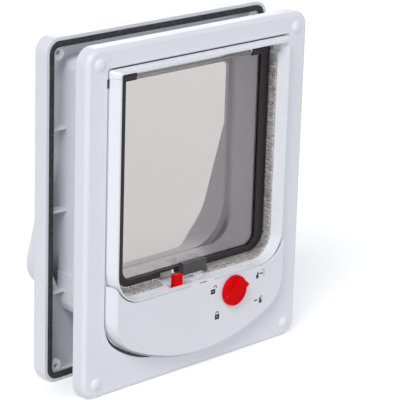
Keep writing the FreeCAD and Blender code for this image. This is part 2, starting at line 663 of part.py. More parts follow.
def coil_yoke():
    z0, z1 = COIL_Z
    low = box(COIL_X - 6, COIL_X + 7.4, COIL_Y - 5.6, COIL_Y + 5.6, z0 - 1.1, z0)
    high = box(COIL_X - 6, COIL_X + 7.4, COIL_Y - 5.6, COIL_Y + 5.6, z1, z1 + 1.1)
    side = box(COIL_X + 6.2, COIL_X + 7.4, COIL_Y - 5.6, COIL_Y + 5.6, z0 - 1.1, z1 + 1.1)
    return fuse([low, high, side]).cut(coil_rod(PLUNGER_R + 0.15, z1 - 0.5, z1 + 2))


def coil_plunger():
    return coil_rod(PLUNGER_R, COIL_Z[0] + 1.5, COIL_Z[1] + 2.2)


def catch_pin():
    base_z = COIL_Z[1] + 2.2
    base = box(COIL_X - 3, COIL_X + 3, TOOTH_Y[0] + 0.1, 3.1, base_z, base_z + 1.8)
    stem = box(COIL_X - 2.9, COIL_X + 2.9, TOOTH_Y[0] + 0.1, TOOTH_Y[1], base_z, 67.3)
    return fuse([base, stem])


# Power and electronics
def cells():
    out = []
    for x0, x1, z in CELLS:
        out.append(fuse([rod("x", CELL_Y, z, CELL_R, x0, x1 - 1.4), rod("x", CELL_Y, z, 2.6, x1 - 1.5, x1)]))
    return out


def contacts():
    out = []
    for x0, x1, z in CELLS:
        fold = plate([(x0 - 1.6, z - 3.4), (x0, z - 0.6), (x0, z + 0.6), (x0 - 1.6, z + 3.4)], "y", CELL_Y - 2, CELL_Y + 2)
        out.append(fuse([box(x0 - 2.0, x0 - 1.5, CELL_Y - 5, CELL_Y + 5, z - 5, z + 5), fold]))
        out.append(box(x1, x1 + 0.5, CELL_Y - 5, CELL_Y + 5, z - 5, z + 5))
    return out


def circuit_board():
    return box(BOARD_X[0], BOARD_X[1], BOARD_Y[0], BOARD_Y[1], BOARD_Z, BOARD_Z + BOARD_T)


def board_parts():
    top = BOARD_Z + BOARD_T
    out = [box(-20, -11, 13.4, 22, top, top + 1.6), box(0, 6, 14, 20, top, top + 1.2)]
    for x in (BOARD_X[0] + 10.0, BOARD_X[0] + 20.0):
        out.append(rod("z", x, 17.6, 3.4, top, top + 6.0))
    out.append(box(14, 20, 13.5, 22.5, top, top + 4.0))
    return out


def sensor_rod():
    return rod("x", SENSOR_Y, SENSOR_Z, SENSOR_R, *SENSOR_X)


def sensor_coil():
    winding = rod("x", SENSOR_Y, SENSOR_Z, WINDING_R, SENSOR_X[0] + 8.0, SENSOR_X[1] - 8.0)
    return winding.cut(rod("x", SENSOR_Y, SENSOR_Z, SENSOR_R, *SENSOR_X))


# Outdoor frame with its sleeve and sill
def outdoor_frame():
    in_face = OUT_FACE - FACE_T
    outer = prism(outline(HALF_W, 0, FRAME_H, FRAME_R, FRAME_R), SKIRT_OUT, OUT_FACE)
    outer = round_front(outer, OUT_FACE, EDGE_R, 10)
    inner_r = FRAME_R - WALL
    hollow = prism(outline(HALF_W - WALL, WALL, FRAME_H - WALL, inner_r, inner_r), SKIRT_OUT, in_face)
    seat = SKIRT_OUT - FOAM_PROUD + FOAM_T
    ledge = prism(outline(HALF_W - 1, 1, FRAME_H - 1, 9.5, 9.5), seat, seat + LEDGE_T)
    ledge = ledge.cut(prism(outline(HALF_W - 7.2, 7.2, FRAME_H - 7.2, 4, 4), seat - 1, seat + 3))
    sleeve = prism(outline(SLEEVE_X, SLEEVE_Z[0], SLEEVE_Z[1], SLEEVE_R, SLEEVE_R), SLEEVE_FRONT, in_face + 0.5)
    parts = [outer.cut(hollow), ledge, sleeve, nose_block()]
    for side in (-1, 1):
        x0, x1 = sorted((side * (SLEEVE_X - 0.5), side * (SLEEVE_X + 0.8)))
        parts.append(box(x0, x1, SLEEVE_FRONT, in_face + 0.5, SLEEVE_Z[0] + SLEEVE_R, 73.7))
        for z in RIB_Z:
            x0, x1 = sorted((side * (SLEEVE_X - 0.5), side * (HALF_W - 1)))
            parts.append(box(x0, x1, seat + LEDGE_T, in_face + 0.5, z - RIB_T / 2, z + RIB_T / 2))
    for x, z in screw_places():
        parts.append(rod("y", x, z, 5.0, seat, in_face + 0.5))
    frame = fuse(parts)
    corner = SLEEVE_R - (SLEEVE_X - SLEEVE_IN)
    bore = outline(SLEEVE_IN, SLEEVE_IN_Z[0], SLEEVE_IN_Z[1], corner, corner)
    frame = frame.cut(prism(bore, SLEEVE_FRONT - 1, in_face)).cut(nose_cavity()).cut(exit_way(0, in_face))
    floor = [box(-46, 46, BOX_BACK + LINER_IN + LINER_GAP, in_face + 0.5, 60.6, 62.3)]
    for x in (-30.0, 0.0, 30.0):
        floor.append(box(x - 0.8, x + 0.8, 42.0, in_face + 0.5, SLEEVE_IN_Z[0] - 0.5, 61.0))
    frame = fuse([frame] + floor)
    return cut(frame, [rod("y", x, z, PILOT_R, 38, in_face) for x, z in screw_places()])


def exit_way(grow, start):
    """Passage out through the face and the nose, tilted so that its floor sheds water."""
    tall = (EXIT_TOP - EXIT_SILL) * math.cos(EXIT_FALL)
    way = outline(EXIT_X + grow, EXIT_SILL - grow, EXIT_SILL + tall + 12 * grow, 4, EXIT_R + grow)
    way = prism(way, start - tall, BACK_REACH + tall)
    way.rotate(V(0, start, EXIT_SILL), V(1, 0, 0), -math.degrees(EXIT_FALL))
    return way.common(box(-FAR, FAR, start - 0.2, BACK_REACH + 2, 0, FAR))


def nose_profile(inset):
    """Side view of the nose, as a prism across the part: flank, tip, lip and underside."""
    start = OUT_FACE - FACE_T

    def on(radius, angle):
        r = radius - inset
        return V(-FAR, BACK_REACH - radius + r * math.cos(angle), NOSE_TIP_Z + r * math.sin(angle))

    under = NOSE_FALL - math.pi / 2
    high, tip, low = on(NOSE_TIP_R, NOSE_LEAN), on(NOSE_TIP_R, 0), on(NOSE_LIP_R, under)
    head = V(-FAR, start, high.z + (high.y - start) / math.tan(NOSE_LEAN))
    foot = V(-FAR, start, low.z - (low.y - start) * math.tan(NOSE_FALL))
    edges = [Part.makeLine(foot, head), Part.makeLine(head, high)]
    edges.append(Part.Arc(high, on(NOSE_TIP_R, NOSE_LEAN / 2), tip).toShape())
    edges.append(Part.Arc(tip, on(NOSE_LIP_R, under / 2), low).toShape())
    edges.append(Part.makeLine(low, foot))
    return Part.Face(Part.Wire(edges)).extrude(V(2 * FAR, 0, 0))


def nose_block():
    shape = outline(NOSE_X, NOSE_BOTTOM, FRAME_H, 4, NOSE_CORNER)
    return prism(shape, OUT_FACE - FACE_T, BACK_REACH + 1).common(nose_profile(0))


def nose_cavity():
    start = OUT_FACE - FACE_T
    w = NOSE_WALL
    hollow = prism(outline(NOSE_X - w, NOSE_BOTTOM + w, FRAME_H, 4, NOSE_CORNER - w), start, BACK_REACH)
    return hollow.common(nose_profile(w)).cut(exit_way(SLEEVE_X - EXIT_X, start))


def foam_seal():
    y0 = SKIRT_OUT - FOAM_PROUD
    gap = 0.3
    x = HALF_W - WALL - gap
    ring_out = outline(x, WALL + gap, FRAME_H - WALL - gap, 7.9, 7.9)
    ring_in = outline(x - FOAM_W, WALL + gap + FOAM_W, FRAME_H - WALL - gap - FOAM_W, 3.5, 3.5)
    foam = prism(ring_out, y0, y0 + FOAM_T).cut(prism(ring_in, y0 - 1, y0 + FOAM_T + 1))
    return cut(foam, [rod("y", x, z, 5.3, 30, 50) for x, z in screw_places()])


NODES = {
    "indoor_frame": indoor_frame,
    "screw_caps": screw_caps,
    "tunnel_housing": tunnel_housing,
    "hinge_cover": hinge_cover,
    "control_cover": control_cover,
    "flap_pane": flap_pane,
    "flap_rim": flap_rim,
    "hinge_pins": hinge_pins,
    "magnet_holder": magnet_holder,
    "flap_magnet": flap_magnet,
    "sill_magnet": sill_magnet,
    "brush_seal": brush_seal,
    "lock_knob": lock_knob,
    "pinion": pinion,
    "lock_slide": lock_slide,
    "latch_tooth": latch_tooth,
    "coil_bobbin": coil_bobbin,
    "coil_winding": coil_winding,
    "coil_yoke": coil_yoke,
    "coil_plunger": coil_plunger,
    "catch_pin": catch_pin,
    "battery_cells": cells,
    "battery_contacts": contacts,
    "circuit_board": circuit_board,
    "board_parts": board_parts,
    "sensor_rod": sensor_rod,
    "sensor_coil": sensor_coil,
    "outdoor_frame": outdoor_frame,
    "foam_seal": foam_seal,
}


def main():
    os.makedirs("parts", exist_ok=True)
    for name, build in NODES.items():
        made = build()
        shapes = made if isinstance(made, list) else [made]
        solids = []
        for shape in shapes:
            shape = shape.copy()
            shape.translate(V(0, SHIFT_Y, 0))
            solids += shape.Solids
        out = solids[0] if len(solids) == 1 else Part.makeCompound(solids)
        out.exportStep("parts/" + name + ".step")
        b = out.BoundBox
        print(name, len(solids), "valid", out.isValid(), "cm3 %.2f" % (sum(s.Volume for s in solids) / 1000),
              "x %.1f %.1f y %.1f %.1f z %.1f %.1f" % (b.XMin, b.XMax, b.YMin, b.YMax, b.ZMin, b.ZMax))


main()
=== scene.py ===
import math
import random

import bmesh
import bpy
from mathutils import Euler, Matrix, Vector


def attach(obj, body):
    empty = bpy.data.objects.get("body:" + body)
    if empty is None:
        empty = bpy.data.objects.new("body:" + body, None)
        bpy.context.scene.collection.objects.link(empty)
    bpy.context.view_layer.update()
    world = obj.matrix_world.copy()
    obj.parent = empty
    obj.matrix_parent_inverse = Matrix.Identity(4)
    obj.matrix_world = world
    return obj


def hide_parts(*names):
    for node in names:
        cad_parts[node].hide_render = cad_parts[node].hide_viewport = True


bl_info = {
    "name": "Cat flap finishing",
    "version": (1, 0, 0),
    "blender": (4, 5, 0),
    "location": "3D View > Sidebar > Cat Flap",
    "description": "Finishes, pile, foam, dial marks and studio for a cat flap built on its CAD frame",
    "category": "Object",
}

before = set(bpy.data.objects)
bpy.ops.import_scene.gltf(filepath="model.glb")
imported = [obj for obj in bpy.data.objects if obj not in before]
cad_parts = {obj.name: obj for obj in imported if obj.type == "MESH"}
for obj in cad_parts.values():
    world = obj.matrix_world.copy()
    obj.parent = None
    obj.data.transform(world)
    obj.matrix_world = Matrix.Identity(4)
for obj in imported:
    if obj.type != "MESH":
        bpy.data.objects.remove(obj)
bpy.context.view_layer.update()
MM = 0.001

# Places on the CAD parts, in millimetres: X to the right from indoors, Y outdoors, Z up
COVER_FACE = -38.5
FRAME_FACE = -31.0
WALL_X, WALL_FLOOR, WALL_R = 72.0, 65.0, 17.0
TONGUE_Z = 63.35
MOUTH_X, MOUTH_BOTTOM, MOUTH_TOP = 81.5, 11.2, 221.8
MOUTH_R, MOUTH_CORNER = 127.0, 22.0
HINGE_Z = 212.6

# Brush seal, in millimetres
PILE_Y = (-30.2, -22.6)
PILE_TOP = 208.0
PILE_LEFT_END, PILE_RIGHT_END = -29.0, 13.4
PILE_AT_SIDE, PILE_AT_SILL = 2.5, 4.1
BACKING_THICK, BACKING_OFF_WALL, BACKING_MARGIN = 1.2, 0.1, 0.3
TUFT_MARGIN, FIBRES_ACROSS = 0.45, 11

# Foam seal, in millimetres
FOAM_X, FOAM_Z, FOAM_R = 96.3, (2.8, 233.0), 7.6
FOAM_Y, FOAM_W = (7.9, 10.1), 3.5

# Dial marks, and dark strips of painted shade in slots and gaps, in millimetres
MARK_OPEN, MARK_CLOSED = (9.3, 55.0), (13.9, 35.7)
MARK_IN, MARK_OUT = (54.5, 56.8), (53.5, 37.8)
MARK_RISE, MARK_SOFT = 0.08, 0.03
SHADE_STRIP_RISE, SHADE_STRIP_SOFT = 0.1, 0.02
LOCK_W, LOCK_H, LOCK_WALL = 4.0, 3.5, 1.45
BOW_R, BOW_LEG, BOW_STRIP = 1.25, 0.9, 0.6
# Shape of the strip of painted shade in the gap under the cover's edge
GAP_WIDE, GAP_TIP, GAP_OFF, GAP_END_X = 2.1, 0.1, 0.05, 40.0
GAP_START = 0.30  # radians along the mouth's corner

# Studio, in metres and degrees
CAMERA_PLACE = (-0.9053, -0.9605, 0.5386)
CAMERA_TURN = (72.099, -1.680, -43.753)
AIM = (0, 0, 0.118)
SUN_WAY, SUN_SOFTNESS = (-0.58, -0.36, 0.73), 24.0
LAMPS = (
    ("fill", (-0.1, -1.6, 0.72), 1.2, (0.97, 0.98, 1.0)),
    ("side", (-1.5, -0.2, 0.3), 0.6, (0.96, 0.97, 1.0)),
    ("back", (0.9, 1.3, 0.8), 1.0, (0.97, 0.98, 1.0)),
)
PAPER, PAPER_GLOW = 0.80, 0.43


# Small tools for modelling with Blender's own operators
def put_down_all():
    """Leaves edit mode with nothing selected."""
    if bpy.context.object and bpy.context.object.mode != "OBJECT":
        bpy.ops.object.mode_set(mode="OBJECT")
    bpy.ops.object.select_all(action="DESELECT")


def choose(*objects):
    """Selects these objects alone, the first as the active one."""
    put_down_all()
    for o in objects:
        o.select_set(True)
    bpy.context.view_layer.objects.active = objects[0]


def added(name):
    """The primitive just added, named, and selected alone."""
    o = bpy.context.object
    o.name = name
    o.data.name = name
    choose(o)
    return o


def place_in_mesh(o):
    """Moves an object's place, turn and size into its mesh."""
    choose(o)
    bpy.ops.object.transform_apply(location=True, rotation=True, scale=True)
    return o


def edit(o, mode="FACE"):
    """Opens the object in edit mode with nothing selected."""
    choose(o)
    bpy.ops.object.mode_set(mode="EDIT")
    bpy.ops.mesh.select_mode(type=mode)
    bpy.ops.mesh.select_all(action="DESELECT")


def done():
    bpy.ops.object.mode_set(mode="OBJECT")


def pick(o, test, kind="faces"):
    """Selects faces, edges or vertices of the object in edit mode by a test on each."""
    mesh = bmesh.from_edit_mesh(o.data)
    found = 0
    for part in getattr(mesh, kind):
        part.select = bool(test(part))
        found += part.select
    mesh.select_flush_mode()
    bmesh.update_edit_mesh(o.data)
    if not found:
        raise RuntimeError(o.name + ": nothing was selected")


def apply_all(o):
    choose(o)
    for m in list(o.modifiers):
        bpy.ops.object.modifier_apply(modifier=m.name)


def joined(name, objects):
    """One object from several, each of which had its own mesh."""
    choose(*objects)
    bpy.ops.object.join()
    o = bpy.context.object
    o.name = name
    o.data.name = name
    return o


def outward(o):
    """Merges doubles and turns every face outwards."""
    edit(o)
    bpy.ops.mesh.select_all(action="SELECT")
    bpy.ops.mesh.remove_doubles(threshold=1e-6)
    bpy.ops.mesh.normals_make_consistent(inside=False)
    done()


def rounded(o, angle=30.0):
    choose(o)
    bpy.ops.object.shade_smooth_by_angle(angle=math.radians(angle))


def fitted(o, body, material):
    """Gives a finished piece its material and sets it on its body."""
    o.data.materials.clear()
    o.data.materials.append(material)
    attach(o, body)
    return o


# Finishes
class Finish:
    """A material being put together from nodes on one Principled shader."""

    def __init__(self, name, colour, roughness):
        self.material = bpy.data.materials.new(name)
        self.material.use_nodes = True
        self.nodes = self.material.node_tree.nodes
        self.links = self.material.node_tree.links
        self.shader = self.nodes["Principled BSDF"]
        self.shader.inputs["Base Color"].default_value = (*colour, 1.0)
        self.shader.inputs["Roughness"].default_value = roughness
        self.coords = self.nodes.new("ShaderNodeTexCoord")

    def set(self, **values):
        for key, value in values.items():
            self.shader.inputs[key.replace("_", " ")].default_value = value
        return self

    def noise(self, scale, detail=3.0, stretch=(1, 1, 1)):
        mapping = self.nodes.new("ShaderNodeMapping")
        mapping.inputs["Scale"].default_value = stretch
        made = self.nodes.new("ShaderNodeTexNoise")
        made.inputs["Scale"].default_value = scale
        made.inputs["Detail"].default_value = detail
        self.links.new(self.coords.outputs["Object"], mapping.inputs["Vector"])
        self.links.new(mapping.outputs["Vector"], made.inputs["Vector"])
        return made.outputs["Fac"]

    def ranged(self, source, low, high):
        made = self.nodes.new("ShaderNodeMapRange")
        made.inputs["From Min"].default_value = 0.3
        made.inputs["From Max"].default_value = 0.7
        made.inputs["To Min"].default_value = low
        made.inputs["To Max"].default_value = high
        self.links.new(source, made.inputs["Value"])
        return made.outputs["Result"]

    def rough(self, source, low, high):
        self.links.new(self.ranged(source, low, high), self.shader.inputs["Roughness"])
        return self

    def tint(self, source, first, second):
        ramp = self.nodes.new("ShaderNodeValToRGB")
        ramp.color_ramp.elements[0].position = 0.32
        ramp.color_ramp.elements[0].color = (*first, 1.0)
        ramp.color_ramp.elements[1].position = 0.68
        ramp.color_ramp.elements[1].color = (*second, 1.0)
        self.links.new(source, ramp.inputs["Fac"])
        self.links.new(ramp.outputs["Color"], self.shader.inputs["Base Color"])
        return self

    def grain(self, source, depth, strength=1.0):
        """Bumps of the given depth in metres; a second call adds to the first."""
        bump = self.nodes.new("ShaderNodeBump")
        bump.inputs["Distance"].default_value = depth
        bump.inputs["Strength"].default_value = strength
        self.links.new(source, bump.inputs["Height"])
        before = self.shader.inputs["Normal"]
        if before.is_linked:
            self.links.new(before.links[0].from_socket, bump.inputs["Normal"])
        self.links.new(bump.outputs["Normal"], before)
        return self


def close(colour, share):
    """A colour a little darker or lighter than another."""
    return tuple(min(1.0, c * share) for c in colour)


def moulded(name, colour, roughness, depth=0.00002, scale=1400.0):
    """Injection-moulded plastic: fine even grain, slight flow marks, handled gloss."""
    f = Finish(name, colour, roughness)
    f.tint(f.noise(18.0, 2.0), close(colour, 0.985), close(colour, 1.01))
    f.rough(f.noise(60.0, 4.0), roughness * 0.85, roughness * 1.15)
    f.grain(f.noise(scale, 2.0), depth, 0.6)
    f.grain(f.noise(9.0, 1.0), 0.0003, 0.04)
    return f.set(IOR=1.49)


def white_shell(colour):
    return moulded("white shell plastic", colour, 0.36)


def white_fascia(colour):
    return moulded("white satin fascia", close(colour, 0.99), 0.42, 0.00003, 2200.0)


def white_gloss(colour):
    return moulded("white polished collar", close(colour, 1.02), 0.28, 0.00001)


def smoked_pane(colour):
    """Clear acrylic with a smoke tint, and faint wipe marks in its polish."""
    f = Finish("smoked acrylic sheet", colour, 0.02)
    f.rough(f.noise(40.0, 5.0, (1, 1, 3)), 0.01, 0.05)
    f.grain(f.noise(5.0, 1.0), 0.0002, 0.05)
    return f.set(Transmission_Weight=1.0, IOR=1.49)


def black_edging(colour):
    f = moulded("black flap edging", colour, 0.42, 0.00003, 1800.0)
    return f.set(Specular_IOR_Level=0.35)


def grey_holder(colour):
    return moulded("dark grey holder plastic", colour, 0.5, 0.00004, 1500.0)


def red_gloss(colour):
    """Deep red plastic with a soft sheen."""
    f = moulded("deep red plastic", colour, 0.30, 0.00001, 900.0)
    return f.set(Specular_IOR_Level=0.05)


def natural_acetal(colour):
    f = moulded("natural acetal", colour, 0.34, 0.00001, 1000.0)
    return f.set(Subsurface_Weight=0.1, Subsurface_Radius=(1, 0.9, 0.7), Subsurface_Scale=0.001)


def drawn_steel(colour):
    f = Finish("zinc-plated steel", colour, 0.3)
    f.tint(f.noise(300.0, 3.0), close(colour, 0.85), close(colour, 1.08))
    f.rough(f.noise(500.0, 4.0, (8, 1, 1)), 0.2, 0.42)
    f.grain(f.noise(900.0, 2.0, (6, 1, 1)), 0.00001, 0.5)
    return f.set(Metallic=1.0)


def sintered(name, colour):
    """Fired ferrite: dull, pitted, with ground faces."""
    f = Finish(name, colour, 0.55)
    f.tint(f.noise(700.0, 6.0), close(colour, 0.7), close(colour, 1.35))
    f.rough(f.noise(250.0, 4.0), 0.45, 0.7)
    return f.grain(f.noise(1600.0, 6.0), 0.00004, 0.7).set(Metallic=0.2)


def enamelled_wire(colour):
    """Layers of fine copper wire side by side, as bands across the winding."""
    f = Finish("enamelled copper winding", colour, 0.3)
    bands = f.nodes.new("ShaderNodeTexWave")
    bands.wave_type, bands.bands_direction = "BANDS", "Z"
    bands.inputs["Scale"].default_value = 900.0
    bands.inputs["Distortion"].default_value = 0.6
    f.links.new(f.coords.outputs["Object"], bands.inputs["Vector"])
    f.tint(bands.outputs["Fac"], close(colour, 0.55), close(colour, 1.2))
    f.grain(bands.outputs["Fac"], 0.00012, 0.8)
    return f.set(Metallic=0.7, Coat_Weight=0.4, Coat_Roughness=0.15)


def cell_sleeve(colour):
    f = Finish("shrink sleeve on the cells", colour, 0.28)
    f.tint(f.noise(35.0, 3.0), close(colour, 0.9), close(colour, 1.1))
    f.rough(f.noise(90.0, 4.0), 0.2, 0.4)
    f.grain(f.noise(120.0, 3.0), 0.00006, 0.4)
    return f.set(Metallic=0.4)


def board_laminate(colour):
    """Green solder mask with lighter copper runs under it."""
    f = Finish("green circuit laminate", colour, 0.3)
    runs = f.nodes.new("ShaderNodeTexBrick")
    runs.inputs["Scale"].default_value = 120.0
    runs.inputs["Mortar Size"].default_value = 0.06
    runs.inputs["Color1"].default_value = (*colour, 1.0)
    runs.inputs["Color2"].default_value = (*close(colour, 0.8), 1.0)
    runs.inputs["Mortar"].default_value = (*close(colour, 2.2), 1.0)
    f.links.new(f.coords.outputs["Object"], runs.inputs["Vector"])
    f.links.new(runs.outputs["Color"], f.shader.inputs["Base Color"])
    f.grain(runs.outputs["Fac"], 0.00004, 0.5)
    f.rough(f.noise(200.0, 3.0), 0.22, 0.38)
    return f


def pile_yarn(colour):
    """Crimped grey-beige nylon pile, with streaks of painted shade and light along the fibres."""
    f = Finish("grey-beige nylon pile", colour, 0.85)
    # Painted shade and light: random streaks from much darker to lighter than the yarn.
    f.tint(f.noise(800.0, 3.0, (1, 0.3, 1)), close(colour, 0.38), close(colour, 1.5))
    f.grain(f.noise(1500.0, 4.0, (1, 3, 1)), 0.0001, 0.8)
    return f.set(Sheen_Weight=0.25, Sheen_Roughness=0.5)


def cell_foam(colour):
    """Closed-cell foam: pinholes all over a soft matt skin."""
    f = Finish("dark closed-cell foam", colour, 0.9)
    cells = f.nodes.new("ShaderNodeTexVoronoi")
    cells.inputs["Scale"].default_value = 1300.0
    f.links.new(f.coords.outputs["Object"], cells.inputs["Vector"])
    f.tint(f.noise(420.0, 5.0), close(colour, 0.75), close(colour, 1.5))
    f.grain(cells.outputs["Distance"], 0.0002, 0.7)
    f.rough(f.noise(300.0, 3.0), 0.82, 0.98)
    return f


def print_and_shade_ink(colour):
    # Serves the printed dial marks and the dark strips of painted shade in the slots and gaps.
    f = Finish("dark printed marks", colour, 0.5)
    f.tint(f.noise(900.0, 4.0), close(colour, 0.8), close(colour, 1.3))
    f.rough(f.noise(500.0, 3.0), 0.42, 0.6)
    f.grain(f.noise(2500.0, 3.0), 0.00001, 0.5)
    return f


# What a user may change
def colour_prop(name, text, value):
    return bpy.props.FloatVectorProperty(name=name, description=text, subtype="COLOR", size=3,
                                         min=0.0, max=1.0, default=value)


class CATFLAP_PG_finishes(bpy.types.PropertyGroup):
    white: colour_prop("White plastic", "Colour of the frames, tunnel and cover", (0.87, 0.885, 0.92))
    smoke: colour_prop("Smoked pane", "Tint of the clear flap", (0.57, 0.54, 0.525))
    edging: colour_prop("Flap edging", "Colour of the strip round the flap", (0.016, 0.013, 0.014))
    holder: colour_prop("Dark plastic", "Colour of the magnet holder and of small dark parts",
                        (0.055, 0.055, 0.058))
    red: colour_prop("Red plastic", "Colour of the lock knob and tooth", (0.78, 0.001, 0.004))
    acetal: colour_prop("Natural plastic", "Colour of the lock slide and bobbin", (0.78, 0.76, 0.70))
    pile: colour_prop("Pile", "Colour of the brush seal", (0.55, 0.52, 0.495))
    foam: colour_prop("Foam", "Colour of the seal on the outdoor frame", (0.036, 0.037, 0.041))
    # This colour also paints the shade in the slots and gaps about the cover.
    ink: colour_prop("Marks", "Colour of the dial marks", (0.012, 0.012, 0.018))


class CATFLAP_PG_pile(bpy.types.PropertyGroup):
    spacing: bpy.props.FloatProperty(name="Tuft spacing", description="Distance between tufts along the seal",
                                     default=0.00062, min=0.0004, max=0.003, unit="LENGTH")
    fibre: bpy.props.FloatProperty(name="Fibre width", description="Width of a fibre at its root",
                                   default=0.00034, min=0.0001, max=0.001, unit="LENGTH")
    stray: bpy.props.FloatProperty(name="Stray", description="How far fibres lean off square",
                                   default=0.30, min=0.0, max=0.8)


class CATFLAP_PG_studio(bpy.types.PropertyGroup):
    ambient: bpy.props.FloatProperty(name="Room light", description="Level of the even light all round",
                                     default=0.36, min=0.0, max=2.0)
    key: bpy.props.FloatProperty(name="Key lamp", description="Strength of the soft light from the left",
                                 default=1.4, min=0.0, max=20.0)
    fill: bpy.props.FloatProperty(name="Fill lamp", description="Power of the second soft lamp",
                                  default=4.2, min=0.0, max=100.0, unit="POWER")
    side: bpy.props.FloatProperty(name="Side lamp",
                                  description="Power of the lamp that shines between the frames",
                                  default=1.6, min=0.0, max=100.0, unit="POWER")
    back: bpy.props.FloatProperty(name="Back lamp", description="Power of the lamp behind the flap",
                                  default=4.5, min=0.0, max=100.0, unit="POWER")
    lens: bpy.props.FloatProperty(name="Lens", description="Focal length of the camera",
                                  default=184.0, min=20.0, max=400.0, unit="CAMERA")


def settings():
    return bpy.context.scene.catflap_finishes


# Finishes on the parts from the CAD frame
class CATFLAP_OT_finishes(bpy.types.Operator):
    """Give every part of the CAD frame its finish"""
    bl_idname = "catflap.finishes"
    bl_label = "Finish the moulded parts"

    def execute(self, context):
        s = settings()
        white, dark = tuple(s.white), tuple(s.holder)
        shell, fascia = white_shell(white), white_fascia(white)
        collar, acetal = white_gloss(white), natural_acetal(tuple(s.acetal))
        steel = drawn_steel((0.62, 0.62, 0.60))
        parts = {
            "indoor_frame": shell, "outdoor_frame": shell, "screw_caps": collar,
            "tunnel_housing": collar, "hinge_cover": collar, "control_cover": fascia,
            "flap_pane": smoked_pane(tuple(s.smoke)), "flap_rim": black_edging(tuple(s.edging)),
            "magnet_holder": grey_holder(dark), "catch_pin": shell,
            "board_parts": grey_holder(close(dark, 0.6)),
            "lock_knob": red_gloss(tuple(s.red)), "latch_tooth": red_gloss(tuple(s.red)),
            "pinion": acetal, "lock_slide": acetal, "coil_bobbin": acetal,
            "hinge_pins": steel, "coil_yoke": steel, "coil_plunger": steel, "battery_contacts": steel,
            "flap_magnet": sintered("black magnet", (0.05, 0.048, 0.047)),
            "sill_magnet": sintered("black sill magnet", (0.055, 0.052, 0.05)),
            "sensor_rod": sintered("ground ferrite rod", (0.085, 0.08, 0.078)),
            "coil_winding": enamelled_wire((0.60, 0.22, 0.07)),
            "sensor_coil": enamelled_wire((0.66, 0.27, 0.09)),
            "battery_cells": cell_sleeve((0.06, 0.07, 0.09)),
            "circuit_board": board_laminate((0.02, 0.16, 0.06)),
        }
        for node, made in parts.items():
            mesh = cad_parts[node].data
            mesh.materials.clear()
            mesh.materials.append(made.material)
        return {"FINISHED"}


# Brush seal
def pile_line():
    """Stations along the right-hand seal, from its top down and round to the middle.

    Each is (point on the wall, direction off the wall, free length), in millimetres.
    """
    cx, cz = WALL_X - WALL_R, WALL_FLOOR + WALL_R
    corner = WALL_R * math.pi / 2
    total = (PILE_TOP - cz) + corner + (cx - PILE_RIGHT_END)

    def at(d):
        if d < PILE_TOP - cz:
            return Vector((WALL_X, 0, PILE_TOP - d)), Vector((-1, 0, 0)), PILE_AT_SIDE
        d -= PILE_TOP - cz
        if d < corner:
            a = d / WALL_R
            way = Vector((-math.cos(a), 0, math.sin(a)))
            free = PILE_AT_SIDE + (PILE_AT_SILL - PILE_AT_SIDE) * d / corner
            return Vector((cx, 0, cz)) - way * WALL_R, way, free
        return Vector((cx - (d - corner), 0, WALL_FLOOR)), Vector((0, 0, 1)), PILE_AT_SILL

    return total, at


def pile_backing(end):
    """The woven strip that holds the pile: extruded down, spun round and run along the sill."""
    cx, cz = WALL_X - WALL_R, WALL_FLOOR + WALL_R
    y0, y1 = PILE_Y
    block, drops = 2.0, 12
    middle = Vector((WALL_X - BACKING_OFF_WALL - BACKING_THICK / 2, (y0 + y1) / 2, PILE_TOP - block / 2))
    bpy.ops.mesh.primitive_cube_add(size=1, location=middle * MM)
    o = added("brush_backing")
    o.scale = Vector((BACKING_THICK, y1 - y0 - 2 * BACKING_MARGIN, block)) * MM
    place_in_mesh(o)
    edit(o)
    pick(o, lambda f: f.normal.z < -0.9)
    for _ in range(drops):
        bpy.ops.mesh.extrude_region_move(
            TRANSFORM_OT_translate={"value": (0, 0, -(PILE_TOP - block - cz) / drops * MM)})
    bpy.ops.mesh.spin(steps=14, angle=math.radians(-90), center=(cx * MM, 0, cz * MM), axis=(0, 1, 0))
    done()
    leftmost = min(v.co.x for v in o.data.vertices)
    lowest = min(v.co.z for v in o.data.vertices)
    if leftmost < (cx - 1) * MM - 1e-6 or lowest > (WALL_FLOOR + 1) * MM:
        raise RuntimeError("the pile backing was spun the wrong way")
    edit(o)
    pick(o, lambda f: f.calc_center_median().x < (cx + 0.05) * MM and f.normal.x < -0.9)
    bpy.ops.mesh.extrude_region_move(TRANSFORM_OT_translate={"value": ((end - cx) * MM, 0, 0)})
    done()
    outward(o)
    bevel = o.modifiers.new("edge", "BEVEL")
    bevel.width, bevel.segments, bevel.limit_method = 0.0002, 2, "ANGLE"
    apply_all(o)
    return o


def pile_tuft(number, width, stray):
    """A clump of fibres standing on the plane Z = 0, one deep along X and a row of them across Y."""
    rng = random.Random(number)
    fibres = []
    first, last = PILE_Y[0] + TUFT_MARGIN, PILE_Y[1] - TUFT_MARGIN
    lean = stray * 2 * MM
    for k in range(FIBRES_ACROSS):
        bpy.ops.mesh.primitive_cone_add(vertices=4, radius1=width / 2, radius2=width * 0.22, depth=1.0,
                                        end_fill_type="NOTHING", location=(0, 0, 0.5))
        o = added("fibre")
        place_in_mesh(o)
        edit(o, "VERT")
        pick(o, lambda v: v.co.z > 0.9, "verts")
        bpy.ops.transform.translate(value=(rng.uniform(-1, 1) * lean, rng.uniform(-1, 1) * lean,
                                           rng.uniform(-0.22, 0.08)))
        bpy.ops.mesh.edge_face_add()
        done()
        along = rng.uniform(-0.25, 0.25)
        across = first + (last - first) * (k + rng.uniform(-0.35, 0.35)) / (FIBRES_ACROSS - 1)
        o.location = (along * MM, across * MM, 0)
        place_in_mesh(o)
        fibres.append(o)
    return joined("pile_tuft_%d" % number, fibres)


